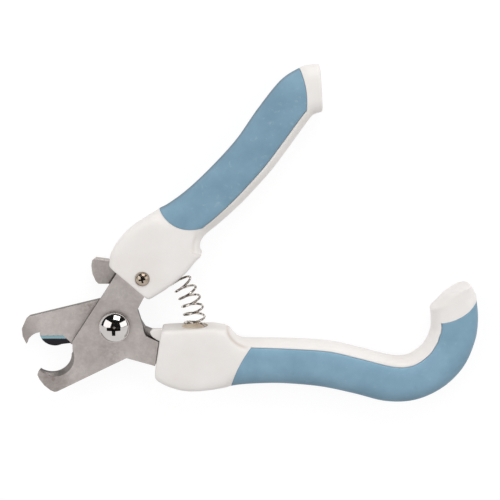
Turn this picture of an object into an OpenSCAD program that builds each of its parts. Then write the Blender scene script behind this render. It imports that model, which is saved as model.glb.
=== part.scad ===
// Plier-type pet nail clipper, lying on its back with the jaws towards -X.
// The pivot axis is the Z axis, and the end face of the pivot nut is at z = 0.

/* [Blades] */
// Thickness of each blade
blade_t = 2.2; // [1.6:0.1:3]
// Thickness of the nail guard
guard_t = 1.1; // [0.8:0.1:1.6]
// Radius of the round nail notch in the front blade
notch_r = 6.7; // [5.5:0.05:7]
// Radius of the ground bevel round the notch, at the front face
notch_bevel_r = 6.5; // [6:0.1:6.8]
// Width of that bevel where it is widest
notch_bevel_w = 2; // [1:0.1:2.5]
// Depth of the ground bevel round the notch
notch_bevel_depth = 1.5; // [0.5:0.1:2]
// Radius of the rear blade's convex cutting edge
edge_r = 4.65; // [3.5:0.05:5.5]
// Width of the rear blade's ground bevel
edge_bevel_w = 3.9; // [2:0.1:4.5]
// Land left at the rear blade's cutting edge
edge_land = 0.4; // [0.2:0.1:1]
// Radius of the hollow inside the rear blade's hook
hook_r = 5.1; // [4:0.1:6]
// Width of the tangs inside the handles
tang_w = 7.4; // [5:0.1:9]
// Length of the tangs inside the handles
tang_l = 24; // [15:1:30]
// Length of the guard's bent thumb lip
guard_lip_l = 2.6; // [1.5:0.1:2.6]
// Width of the guard's stop arm
guard_arm_w = 6; // [4:0.1:7]
// Radius of the guard round the pivot
guard_boss_r = 7; // [6:0.1:8]
// Reach of the guard's stop arm from the pivot
guard_reach = 23; // [18:0.5:24]

/* [Pivot] */
// Radius of the pivot screw's shoulder
pivot_r = 3; // [2.5:0.1:3.5]
// Radius of the pivot screw's thread
pivot_thread_r = 2.5; // [2:0.1:2.9]
// Radius of the pivot screw's head
pivot_head_r = 5.05; // [4.5:0.05:6]
// Height of the straight rim of the head
pivot_rim_h = 0.9; // [0.4:0.1:1.5]
// Width of the flat ring on that rim, round the dome
pivot_ring_w = 0.6; // [0.2:0.1:1]
// Height of the dome above the rim
pivot_dome_h = 2; // [1:0.1:3]
// Thickness of the tooth washer
tooth_washer_t = 0.6; // [0.4:0.1:1]
// Radius of the tooth washer over its teeth
tooth_washer_r = 5.25; // [5.1:0.05:6.5]
// Number of teeth on the tooth washer
tooth_count = 30; // [16:1:40]
// Depth of those teeth
tooth_h = 0.3; // [0.2:0.05:0.6]
// Thickness of the spring washer
spring_washer_t = 0.4; // [0.3:0.1:0.8]
// Outer radius of the spring washer
spring_washer_r = 4.8; // [4:0.1:6]
// Thickness of the pivot nut
nut_t = 2.2; // [2:0.1:3]
// Width of the pivot nut across its flats
nut_w = 9; // [8:0.5:11]

/* [Handles] */
// Reach of the upper handle from the pivot, along its own length
upper_handle_l = 101; // [94:0.5:110]
// Reach of the lower handle from the pivot, along the X axis
lower_handle_l = 119; // [110:0.5:130]
// Thickness of the handles, back to front
handle_t = 12; // [11.5:0.1:14]
// Wall of the soft grips
grip_t = 1.6; // [1:0.1:2]
// Width of the white strip beside the upper grip, on the inner side
strip_w = 2.5; // [1.5:0.1:3.5]
// Rounding of the handles' mouths round the tangs
mouth_r = 0.9; // [0.3:0.1:1.5]
// Radius of the spring pockets
pocket_r = 4.25; // [4.2:0.05:5]
// Depth of the spring pockets
pocket_depth = 1.5; // [1:0.1:4]

/* [Return spring] */
// Distance of the spring from the pivot axis
spring_reach = 26.2; // [25:0.1:28]
// Outer diameter of the spring
spring_d = 7.4; // [6.5:0.1:7.6]
// Wire diameter
spring_wire = 0.75; // [0.5:0.05:1]
// Number of turns
spring_turns = 6.25; // [5:0.25:8]

/* [Small screws] */
// Radius of the small screws' thread
screw_r = 1.2; // [1:0.1:1.5]
// Radius of the small screws' head
screw_head_r = 2.25; // [2:0.05:2.8]
// Height of the small screws' head
screw_head_h = 1.6; // [1.2:0.1:2]
// Length of the small screws under the head
screw_l = 8.5; // [7:0.1:9]
// Depth of the upper screw's seat under the front face
upper_seat = 0.2; // [0.1:0.1:1]
// Depth of the lower screw's head under the back
lower_sink = 0.6; // [0.2:0.1:1.5]

/* [Clearances] */
// Gap between plates that slide over each other
slide_gap = 0.05; // [0.03:0.01:0.1]
// Radial clearance of holes on the pivot shoulder
pivot_fit = 0.05; // [0.02:0.01:0.1]
// Radial clearance of a screw in a part that it clamps
screw_fit = 0.03; // [0.02:0.01:0.1]
// Radial room round a screw's head
head_room = 0.2; // [0.1:0.05:0.4]
// Clearance of a tang in its slot
tang_fit = 0.05; // [0.03:0.01:0.15]
// Clearance between a grip and its core
grip_fit = 0.05; // [0.03:0.01:0.1]

/* [Hidden] */

steel = [0.70, 0.68, 0.66];
chrome = [0.82, 0.82, 0.84];
white_plastic = [0.90, 0.89, 0.87];
blue_grip = [0.48, 0.61, 0.69];
spring_steel = [0.40, 0.37, 0.35];
round_fn = 64;
over = 1;

// Levels of the plates, from the nut's end face up
washer_z = nut_t;
guard_z = washer_z + spring_washer_t + slide_gap;
rear_z = guard_z + guard_t + slide_gap;
front_z = rear_z + blade_t + slide_gap;
tooth_washer_z = front_z + blade_t;
head_z = tooth_washer_z + tooth_washer_t;

// Places in the plane of the blades
notch_at = [-21, -8.9];
notch_bevel_at = [-19.9, -10.3];
hook_at = [-24.3, -7.5];
edge_at = [-20.2, -2.75];
upper_tang_at = [6, 13];
upper_tang_turn = 54;
lower_tang_at = [13, -9.4];
lower_tang_turn = -2;
upper_screw_at = [9.6, 16.8];
lower_screw_at = [21, -9.7];

// Outlines of the plates, of the guard's thumb tab with its bent lip, and of the lower handle's stop lip
front_outline = [
  [1.2, 18.1], [-13.9, -5], [-13.9, -9], [-24.6, -14.3], [-25.3, -15.1], [-25.7, -16.2], [-25, -17.9],
  [-23.5, -19.9], [-21.6, -21.5], [-20.3, -22.1], [-19.4, -22], [3.7, -10.6], [13.1, -13.3],
  [14.35, -5.1], [10.3, -3.2], [9.7, -2], [9, 1], [7.6, 5.8], [10, 10.3]
];
rear_outline = [
  [-5.1, 8.7], [-28.1, 3], [-29.2, 2.1], [-30.7, -1.2], [-30.5, -3.8], [-29.4, -6.2], [-24.3, -6.2],
  [-20, -5], [-18.4, -6.9], [-14.7, -6.4], [-9, -7.5], [-3, -9.2], [3, -9.6], [14, -12.6],
  [14, -2.2], [12.1, -1.6], [9.8, -0.6], [8.4, 1.8], [7.4, 4.1], [5.6, 7.2], [2, 9]
];
guard_tab = [
  [-1.9, 21.4], [-6.4, 22], [-7.4, 21.2], [-7.7, 19.4], [-7.4, 16.8], [-6.4, 14.4], [-5.5, 13.4],
  [-1.2, 13.4], [-1.8, 6], [6, 3], [5, 11], [2.4, 16.8]
];
guard_lip = [[-1.9, 21.4], [-6.4, 22], [-6.5, 21], [-1.9, 20.4]];
stop_lip = [
  [17, -0.9], [12.5, -0.85], [11.5, -1.7], [11.7, -2.6], [12.3, -3.5], [13.9, -4.6], [15, -5.05], [17, -5.1]
];

// Drawn rails of the handles: each row is a station, with its point on the inner edge and on the outer edge
upper_drawn = [
  [[11.45, 9.45], [-1.2, 20.6]],
  [[17, 12.9], [-0.5, 24.95]],
  [[23.15, 17.85], [2.8, 29.7]],
  [[26.9, 22.3], [6.4, 33]],
  [[28.5, 23.8], [8.4, 34.35]],
  [[28, 25.25], [10.05, 35.5]],
  [[28.3, 28.2], [12.1, 36.85]],
  [[29.9, 30.5], [13.6, 37.9]],
  [[31.95, 32.2], [15.05, 38.9]],
  [[34.6, 34.35], [18.4, 40.75]],
  [[38.6, 37.95], [24.3, 45.2]],
  [[43.4, 42.7], [31.75, 52.25]],
  [[50.8, 51], [39.75, 61.05]],
  [[56.45, 58.5], [46.75, 71.05]],
  [[60.4, 64.05], [54, 80.05]],
  [[62.75, 67.3], [60, 84]],
  [[64.4, 69.2], [62.4, 84.85]],
  [[67.4, 70.2], [66.3, 85.2]]
];
lower_drawn = [
  [[15.4, -0.7], [13.05, -15.6]],
  [[16.3, -0.6], [13.5, -17.3]],
  [[18, -0.45], [15.45, -18.75]],
  [[21.2, -0.3], [18.45, -20.1]],
  [[26.5, -0.1], [22.6, -21.2]],
  [[31.5, 0], [26.8, -21.35]],
  [[35.1, -0.35], [30.8, -21.05]],
  [[37.4, -1], [33.6, -20.75]],
  [[38.9, -2.7], [35.6, -20.55]],
  [[41.2, -4.1], [36.9, -20.45]],
  [[45.6, -4.3], [37.95, -20.25]],
  [[48.6, -4.33], [41.2, -19.75]],
  [[52.8, -4.42], [47, -19.35]],
  [[58.5, -4.6], [55.5, -19.3]],
  [[70.5, -5.45], [67.5, -20.4]],
  [[81.35, -7.95], [78.5, -22.75]],
  [[91.3, -10.4], [89.1, -25.4]],
  [[96.6, -10.1], [98.9, -24.95]],
  [[100.6, -7.35], [107.9, -20.7]],
  [[102.7, -4.15], [114.65, -13.55]],
  [[103.35, -2.1], [118.2, -4.6]],
  [[103.7, -0.9], [118.9, 2.8]],
  [[103.75, 0.4], [118.2, 9.2]],
  [[103.55, 4.4], [118.1, 10.4]],
  [[103.3, 6], [117.7, 11.2]],
  [[105.2, 7.05], [117.25, 12.1]],
  [[107.95, 10.2], [116.65, 13.1]],
  [[111.6, 12.8], [115.7, 14.1]]
];

// Stations where each grip starts and ends, how far those two seams bow on the faces,
// and the strip's width there: the lower strip starts narrower
upper_grip_span = [8, 15];
lower_grip_span = [10, 22];
upper_seam_bow = [-2.8, 0.85];
lower_seam_bow = [0.9, 1.5];
narrow_start = 0.76;
upper_strip = [strip_w, strip_w];
lower_strip = [narrow_start * strip_w, strip_w];

// Station where each body starts to narrow, and the rounding of each tip as length in stations and inset
upper_body_end = 3;
lower_body_end = 4;
upper_tip = [0.25, 0.9];
lower_tip = [0.5, 1.7];

// How square the section is at the body and at the grip: across its faces, and across its sides
body_square = [6, 10];
grip_square = [2.7, 2.7];

// Fold along the inner edge at the neck, as a share of the section's height,
// and the stations over which the bow and the fold fade: a bow fades up to the tip where that is nearer
neck_fold = 0.3;
bow_fade = 4;
fold_fade = 5;

// Drawn reach of each handle, and its direction in degrees
upper_drawn_l = 101;
upper_lean = 52;
lower_drawn_l = 119;
lower_lean = 0;

// Rails with all stations past the grip's start moved along the handle, so that its reach becomes l
function stretched(rows, start, l, drawn_l, lean) =
  let (
    u = [cos(lean), sin(lean)],
    from = (rows[start][0] + rows[start][1]) / 2 * u,
    share = (l - from) / (drawn_l - from) - 1
  )
  [
    for (k = [0:len(rows) - 1])
      [for (p = rows[k]) k <= start ? p : p + share * (p * u - from) * u]
  ];
upper_rails = stretched(upper_drawn, upper_grip_span[0], upper_handle_l, upper_drawn_l, upper_lean);
lower_rails = stretched(lower_drawn, lower_grip_span[0], lower_handle_l, lower_drawn_l, lower_lean);

// Each handle's shape as one list, and names for its members
upper_shape = [upper_rails, upper_grip_span, upper_seam_bow, upper_strip, upper_body_end, upper_tip];
lower_shape = [lower_rails, lower_grip_span, lower_seam_bow, lower_strip, lower_body_end, lower_tip];
function rails(shape) = shape[0];
function grip_span(shape) = shape[1];
function seam_bow(shape) = shape[2];
function strip_widths(shape) = shape[3];
function body_end(shape) = shape[4];
function tip(shape) = shape[5];

// Counts and steps for the lofted handles: ring_step in mm, the others in stations and degrees
strip_sides = 8;
wrap_sides = 16;
ring_step = 3;
rail_step = 0.05;
least_step = 0.1;
shoulder = 0.03;
grip_end = 1.3 * shoulder;
seam_turn = 0.7;
round_turns = [0:30:90];

// Point on a smooth curve through the listed rows, at station t
function between(a, b, c, d, u) =
  0.5 * (2 * b + (c - a) * u + (2 * a - 5 * b + 4 * c - d) * u * u + (3 * b - a - 3 * c + d) * u * u * u);
function at_station(rows, t) =
  let (last = len(rows) - 1, k = min(floor(t), last - 1))
  between(rows[max(k - 1, 0)], rows[k], rows[k + 1], rows[min(k + 2, last)], t - k);

function held(u) = min(max(u, 0), 1);
function eased(u) = held(u) * held(u) * (3 - 2 * held(u));
function signed_power(v, p) = sign(v) * pow(abs(v), p);

// Width of the strip across the section at station t, where its edge may lean to the section
function strip_across(shape, t, across) =
  let (
    rows = rails(shape),
    span = grip_span(shape),
    widths = strip_widths(shape),
    wide = widths[0] + (widths[1] - widths[0]) * held((t - span[0]) / (span[1] - span[0])),
    edge = at_station(rows, min(t + rail_step, len(rows) - 1))[0] - at_station(rows, max(t - rail_step, 0))[0]
  )
  wide * norm(edge) / abs(cross(across, edge));

// Section at station t: middle, half width, direction across, squareness, strip, bow and fold
function section(shape, t) =
  let (
    span = grip_span(shape),
    last = len(rails(shape)) - 1,
    row = at_station(rails(shape), t),
    half = norm(row[1] - row[0]) / 2,
    across = (row[1] - row[0]) / (2 * half),
    narrowing = eased((t - body_end(shape)) / (span[0] - body_end(shape))),
    fades = [for (e = span) eased(1 - abs(t - e) / min(bow_fade, last - e))]
  )
  [
    (row[0] + row[1]) / 2,
    half,
    across,
    body_square + (grip_square - body_square) * narrowing,
    min(strip_across(shape, t, across), half / 2),
    seam_bow(shape) * fades,
    neck_fold * eased(1 - abs(t - span[0]) / fold_fade)
  ];

// Point of a section at angle a: 0 is the inner edge, 90 the front, 180 the outer edge
function section_point(s, inset, a) =
  let (
    middle = s[0],
    half = s[1],
    across = s[2],
    strip = s[4],
    share = signed_power(cos(a), 2 / s[3][0]),
    limit = 1 - strip / half,
    q = -(half - inset) * share,
    lead = s[5] * max(4 * (1 + share) * (limit - share) / pow(1 + limit, 2), 0),
    fold = 1 - s[6] * max(1 - (1 - share) * half / strip, 0),
    h = (handle_t / 2 - inset) * signed_power(sin(a), 2 / s[3][1]) * fold
  )
  [middle.x + across.x * q + across.y * lead, middle.y + across.y * q - across.x * lead, handle_t / 2 + h];

// Angle at which the white strip ends on the front face
function strip_turn(s) = acos(pow(1 - s[4] / s[1], s[3][0] / 2));

// Closed section of a core, with the part under the grip set in by depth
function core_ring(shape, t, inset, depth) =
  let (s = section(shape, t), f = strip_turn(s), g = f + seam_turn)
  concat(
    [for (k = [0:strip_sides]) section_point(s, inset, f * (2 * k / strip_sides - 1))],
    [for (k = [0:wrap_sides]) section_point(s, inset + depth, g + (360 - 2 * g) * k / wrap_sides)]
  );

// Closed C-section of a grip: its outer face, then its inner face back again
function grip_ring(shape, t) =
  let (s = section(shape, t), g = strip_turn(s) + 2 * seam_turn, turn = 360 - 2 * g)
  concat(
    [for (k = [0:wrap_sides]) section_point(s, 0, g + turn * k / wrap_sides)],
    [for (k = [wrap_sides:-1:0]) section_point(s, grip_t - grip_fit, g + turn * k / wrap_sides)]
  );

// Stations from one row up to a later one, no more than ring_step apart
function steps(rows, from, to) = [
  for (k = [from:to - 1])
    let (
      gap = rows[k + 1] - rows[k],
      n = ceil(max(norm(gap[0]), norm(gap[1])) / ring_step)
    )
    for (j = [0:n - 1]) k + j / n
];

// Stations of a core as [station, inset, depth under the grip]
function core_stations(shape) =
  let (
    rows = rails(shape),
    span = grip_span(shape),
    tip_l = tip(shape)[0],
    tip_inset = tip(shape)[1],
    last = len(rows) - 1,
    first_gap = rows[1] - rows[0],
    mouth_l = mouth_r / norm((first_gap[0] + first_gap[1]) / 2)
  )
  concat(
    [for (a = round_turns) [mouth_l * (1 - cos(a)), mouth_r * (1 - sin(a)), 0]],
    [for (t = steps(rows, 0, span[0])) if (t > mouth_l + least_step) [t, 0, 0]],
    [[span[0], 0, 0], [span[0] + shoulder, 0, grip_t]],
    [for (t = steps(rows, span[0], span[1])) if (t > span[0]) [t, 0, grip_t]],
    [[span[1] - shoulder, 0, grip_t], [span[1], 0, 0]],
    [for (t = steps(rows, span[1], last)) if (t > span[1] && t < last - tip_l - least_step) [t, 0, 0]],
    [for (a = round_turns) [last - tip_l * (1 - sin(a)), tip_inset * (1 - cos(a)), 0]]
  );
function grip_stations(shape) =
  let (span = grip_span(shape))
  concat(
    [span[0] + grip_end],
    [for (t = steps(rails(shape), span[0], span[1])) if (t > span[0]) t],
    [span[1] - grip_end]
  );

// Faces that close a section of m points: one flat face, or a band between the two arcs of a C-section
function flat_cap(m) = [[for (k = [m - 1:-1:0]) k]];
function band_cap(m) =
  [for (k = [0:m / 2 - 2]) each [[k + 1, k, m - 2 - k], [k, m - 1 - k, m - 2 - k]]];
function turned(faces) = [for (f = faces) [for (k = [len(f) - 1:-1:0]) f[k]]];

// Closed solid through a list of sections with the same number of points
module skin(rings, cap, flip) {
  m = len(rings[0]);
  n = len(rings);
  sides = [
    for (r = [0:n - 2])
      for (k = [0:m - 1])
        let (a = r * m + k, b = r * m + (k + 1) % m)
        each [[a, b, b + m], [a, b + m, a + m]]
  ];
  last_cap = [for (f = turned(cap)) [for (k = f) (n - 1) * m + k]];
  faces = concat(sides, cap, last_cap);
  polyhedron([for (r = rings) each r], flip ? turned(faces) : faces);
}
module core_loft(shape, flip) {
  rings = [for (s = core_stations(shape)) core_ring(shape, s[0], s[1], s[2])];
  skin(rings, flat_cap(len(rings[0])), flip);
}
module grip_loft(shape, flip) {
  rings = [for (t = grip_stations(shape)) grip_ring(shape, t)];
  skin(rings, band_cap(len(rings[0])), flip);
}

module plate(z, t) {
  translate([0, 0, z]) linear_extrude(t) children();
}
module hole(at, r) {
  translate([at.x, at.y, -over]) cylinder(r = r, h = handle_t + 2 * over, $fn = round_fn);
}
module tang(at, turn, fit) {
  translate(at) rotate(turn) translate([-over, -tang_w / 2 - fit])
    square([tang_l + over + fit, tang_w + 2 * fit]);
}

module front_blade() {
  color(steel)
  difference() {
    plate(front_z, blade_t) {
      difference() {
        polygon(front_outline);
        translate(notch_at) circle(r = notch_r, $fn = round_fn);
      }
      tang(upper_tang_at, upper_tang_turn, 0);
    }
    hole([0, 0], pivot_r + pivot_fit);
    hole(upper_screw_at, screw_r + screw_fit);
    translate([notch_bevel_at.x, notch_bevel_at.y, front_z + blade_t - notch_bevel_depth])
      cylinder(r1 = notch_bevel_r - notch_bevel_w, r2 = notch_bevel_r, h = notch_bevel_depth, $fn = round_fn);
  }
}

module rear_blade() {
  color(steel)
  difference() {
    plate(rear_z, blade_t) {
      difference() {
        polygon(rear_outline);
        translate(hook_at) circle(r = hook_r, $fn = round_fn);
      }
      translate(edge_at) circle(r = edge_r, $fn = round_fn);
      tang(lower_tang_at, lower_tang_turn, 0);
    }
    hole([0, 0], pivot_r + pivot_fit);
    hole(lower_screw_at, screw_r + screw_fit);
    rear_bevel();
  }
}

// Flat grind on the front of the rear blade's cutting edge, running out towards the pivot:
// how far past the edge's middle it stays full and where it ends, and its width at that end
bevel_full = 3;
bevel_end = 5.4;
bevel_end_w = 1.6;
module rear_bevel() {
  edge_y = edge_at.y - edge_r;
  grind_y = edge_y + edge_bevel_w;
  drop = blade_t - edge_land;
  top = rear_z + blade_t;
  full_x = edge_at.x + bevel_full;
  end_x = edge_at.x + bevel_end;
  intersection() {
    translate([edge_at.x - edge_r, 0, 0]) rotate([90, 0, 90]) linear_extrude(2 * edge_r + over)
      polygon([
        [grind_y, top], [edge_y, top - drop], [edge_y - over, top - drop], [edge_y - over, top + over],
        [grind_y, top + over]
      ]);
    plate(0, handle_t)
      polygon([
        [edge_at.x - edge_r, grind_y], [full_x, grind_y], [end_x, edge_y + bevel_end_w],
        [end_x, edge_y - over], [edge_at.x - edge_r, edge_y - over]
      ]);
  }
}

// Length of the stop arm up to its rounded end
guard_straight = guard_reach - guard_arm_w / 2;
module nail_guard() {
  color(steel)
  difference() {
    union() {
      plate(guard_z, guard_t) {
        circle(r = guard_boss_r, $fn = round_fn);
        polygon(guard_tab);
        translate([-guard_straight, 0]) circle(d = guard_arm_w, $fn = round_fn);
        translate([-guard_straight, -guard_arm_w / 2]) square([guard_straight, guard_arm_w]);
      }
      plate(guard_z + guard_t - guard_lip_l, guard_lip_l)
        polygon(guard_lip);
    }
    hole([0, 0], pivot_r + pivot_fit);
  }
}

// Cross-shaped driver recess in a head of radius r, pointing down from z = 0
recess_reach = 0.5;
recess_arm = 0.25;
module cross_recess(r, depth) {
  reach = r * recess_reach;
  arm = r * recess_arm;
  for (a = [0, 90])
    rotate(a) translate([-reach, -arm / 2, -depth]) cube([2 * reach, arm, depth + over]);
}

// Domed head on z = 0: a straight rim, and on it a spherical cap of radius cap_r
module domed_head(r, rim, cap_r, dome) {
  ball_r = (cap_r * cap_r + dome * dome) / (2 * dome);
  cylinder(r = r, h = rim, $fn = round_fn);
  intersection() {
    translate([0, 0, rim + dome - ball_r]) sphere(r = ball_r, $fn = round_fn);
    translate([0, 0, rim]) cylinder(r = cap_r, h = dome, $fn = round_fn);
  }
}

module pivot_screw() {
  color(chrome)
  difference() {
    union() {
      cylinder(r = pivot_thread_r, h = nut_t, $fn = round_fn);
      translate([0, 0, nut_t]) cylinder(r = pivot_r, h = head_z - nut_t, $fn = round_fn);
      translate([0, 0, head_z])
        domed_head(pivot_head_r, pivot_rim_h, pivot_head_r - pivot_ring_w, pivot_dome_h);
    }
    translate([0, 0, head_z + pivot_rim_h + pivot_dome_h])
      cross_recess(pivot_head_r, pivot_dome_h);
  }
}

module tooth_washer() {
  color(chrome)
  difference() {
    plate(tooth_washer_z, tooth_washer_t)
      polygon([
        for (k = [0:2 * tooth_count - 1])
          let (r = tooth_washer_r - tooth_h * (k % 2), a = 180 * k / tooth_count)
          [r * cos(a), r * sin(a)]
      ]);
    hole([0, 0], pivot_r + screw_fit);
  }
}

module spring_washer() {
  color(steel)
  difference() {
    translate([0, 0, washer_z]) cylinder(r = spring_washer_r, h = spring_washer_t, $fn = round_fn);
    hole([0, 0], pivot_r + screw_fit);
  }
}

module pivot_nut() {
  color(steel)
  difference() {
    cylinder(d = nut_w / cos(30), h = nut_t, $fn = 6);
    hole([0, 0], pivot_thread_r + screw_fit);
  }
}

// Screw with its head's seat at z = 0 and its thread pointing down
// The rim and the recess are shares of the head's height
screw_rim = 0.33;
screw_recess = 0.5;
module tang_screw() {
  difference() {
    union() {
      translate([0, 0, -screw_l]) cylinder(r = screw_r, h = screw_l, $fn = round_fn);
      domed_head(screw_head_r, screw_rim * screw_head_h, screw_head_r, (1 - screw_rim) * screw_head_h);
    }
    translate([0, 0, screw_head_h]) cross_recess(screw_head_r, screw_recess * screw_head_h);
  }
}
// Seats of the two screws: just under the front face, and sunk into the back
upper_seat_z = handle_t - upper_seat;
lower_seat_z = screw_head_h + lower_sink;

module upper_tang_screw() {
  color(spring_steel) translate([upper_screw_at.x, upper_screw_at.y, upper_seat_z]) tang_screw();
}
module lower_tang_screw() {
  color(spring_steel)
    translate([lower_screw_at.x, lower_screw_at.y, lower_seat_z]) rotate([180, 0, 0]) tang_screw();
}

// Room that a screw needs in a handle: its thread, and its head above the seat
module screw_room() {
  translate([0, 0, -screw_l]) cylinder(r = screw_r + screw_fit, h = screw_l + over, $fn = round_fn);
  cylinder(r = screw_head_r + head_room, h = screw_head_h + over, $fn = round_fn);
}

// Angles of the spring's seats about the pivot, at the floors of the pockets
lower_face_turn = -0.3;
upper_face_turn = 37.5;
pocket_turn = pocket_depth / spring_reach * 180 / PI;
pocket_seam = 40;
spring_start = lower_face_turn - pocket_turn;
spring_end = upper_face_turn + pocket_turn;

// Pocket for the spring, sunk from the handle's inner face: side is -1 for the lower handle, 1 for the upper
module spring_pocket(turn, side) {
  rotate(turn) translate([spring_reach, 0, handle_t / 2]) rotate([-90 * side, 0, 0]) rotate(pocket_seam)
    translate([0, 0, -handle_t / 2]) cylinder(r = pocket_r, h = pocket_depth + handle_t / 2, $fn = round_fn);
}

module upper_handle_core() {
  color(white_plastic)
  difference() {
    core_loft(upper_shape, false);
    plate(front_z - tang_fit, blade_t + 2 * tang_fit) tang(upper_tang_at, upper_tang_turn, tang_fit);
    translate([upper_screw_at.x, upper_screw_at.y, upper_seat_z]) screw_room();
    spring_pocket(upper_face_turn, 1);
  }
}
module lower_handle_core() {
  color(white_plastic)
  difference() {
    union() {
      core_loft(lower_shape, true);
      plate(front_z, blade_t)
        polygon(stop_lip);
    }
    plate(rear_z - tang_fit, blade_t + 2 * tang_fit) tang(lower_tang_at, lower_tang_turn, tang_fit);
    translate([lower_screw_at.x, lower_screw_at.y, lower_seat_z]) rotate([180, 0, 0]) screw_room();
    spring_pocket(lower_face_turn, -1);
  }
}
module upper_handle_grip() {
  color(blue_grip) grip_loft(upper_shape, false);
}
module lower_handle_grip() {
  color(blue_grip) grip_loft(lower_shape, true);
}

// Wire of the spring: a helix whose own axis is an arc about the pivot, with its ends close to the seats
coil_r = (spring_d - spring_wire) / 2;
wire_sides = 8;
rings_per_turn = 12;
spring_phase = 278;
seat_gap = 0.05;
end_turn = (spring_wire / 2 + seat_gap) / spring_reach * 180 / PI;
coil_rings = spring_turns * rings_per_turn;
coil_step = (spring_end - spring_start - 2 * end_turn) / coil_rings;
function spring_axis(turn, off, z) =
  [(spring_reach + off) * cos(turn), (spring_reach + off) * sin(turn), handle_t / 2 + z];
function coil_point(turn, a) = spring_axis(turn, coil_r * cos(a), -coil_r * sin(a));
wire_path = [
  for (k = [0:coil_rings])
    coil_point(spring_start + end_turn + coil_step * k, spring_phase + 360 * k / rings_per_turn)
];

function unit(v) = v / norm(v);
function wire_direction(k) =
  unit(wire_path[min(k + 1, len(wire_path) - 1)] - wire_path[max(k - 1, 0)]);
function wire_ring(k) =
  let (
    along = wire_direction(k),
    out = unit(wire_path[k] - spring_axis(atan2(wire_path[k].y, wire_path[k].x), 0, 0)),
    side = unit(cross(along, out)),
    square_out = cross(side, along)
  )
  [
    for (s = [0:wire_sides - 1])
      let (a = 360 * s / wire_sides)
      wire_path[k] + spring_wire / 2 * (cos(a) * square_out + sin(a) * side)
  ];
module return_spring() {
  color(spring_steel) skin([for (k = [0:len(wire_path) - 1]) wire_ring(k)], flat_cap(wire_sides), true);
}

// Least gap between one stretch of the wire and another, more than half a turn away
wire_gap = min([
  for (i = [0:len(wire_path) - 1])
    for (j = [i + rings_per_turn / 2 + 1:1:len(wire_path) - 1])
      norm(wire_path[i] - wire_path[j])
]) - spring_wire;
echo(least_gap_of_the_spring_to_itself_mm = wire_gap);

front_blade();
rear_blade();
nail_guard();
pivot_screw();
tooth_washer();
spring_washer();
pivot_nut();
upper_handle_core();
upper_handle_grip();
lower_handle_core();
lower_handle_grip();
upper_tang_screw();
lower_tang_screw();
return_spring();
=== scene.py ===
import math

import bmesh
import bpy
import numpy as np
from mathutils import Matrix, Vector


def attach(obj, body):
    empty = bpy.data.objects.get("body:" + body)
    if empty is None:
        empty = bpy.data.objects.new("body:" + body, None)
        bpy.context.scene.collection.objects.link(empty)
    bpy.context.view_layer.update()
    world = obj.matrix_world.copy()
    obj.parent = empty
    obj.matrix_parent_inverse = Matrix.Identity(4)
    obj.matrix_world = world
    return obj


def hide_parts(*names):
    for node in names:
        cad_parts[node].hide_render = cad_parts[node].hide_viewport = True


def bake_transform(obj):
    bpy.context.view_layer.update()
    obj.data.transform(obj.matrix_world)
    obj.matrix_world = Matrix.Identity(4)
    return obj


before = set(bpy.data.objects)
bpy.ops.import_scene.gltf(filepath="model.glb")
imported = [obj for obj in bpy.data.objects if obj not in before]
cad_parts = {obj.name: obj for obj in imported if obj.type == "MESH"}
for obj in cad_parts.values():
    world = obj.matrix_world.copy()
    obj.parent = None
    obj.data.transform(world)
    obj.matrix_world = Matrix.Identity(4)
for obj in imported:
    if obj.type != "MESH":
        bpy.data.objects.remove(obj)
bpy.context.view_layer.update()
print("frame loaded", len(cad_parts), "nodes")

mm = 0.001
sceneNow = bpy.context.scene
sceneNow.view_settings.view_transform = "Standard"


class Sock:  # one socket, so that shader sums read as plain sums
    def __init__(self, finish, socket):
        self.finish = finish
        self.socket = socket

    def calc(self, operation, *rest):
        return self.finish.maths(operation, self, *rest)

    def other(self, name):  # another output of the same node
        outputs = self.socket.node.outputs
        return Sock(self.finish, next(o for o in outputs if o.name == name and o.enabled))

    def atLeast(self, value):
        return self.calc("MAXIMUM", value)

    def __add__(self, value):
        return self.calc("ADD", value)

    def __radd__(self, value):
        return self.finish.maths("ADD", value, self)

    def __sub__(self, value):
        return self.calc("SUBTRACT", value)

    def __rsub__(self, value):
        return self.finish.maths("SUBTRACT", value, self)

    def __mul__(self, value):
        return self.calc("MULTIPLY", value)

    def __rmul__(self, value):
        return self.finish.maths("MULTIPLY", value, self)


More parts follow.
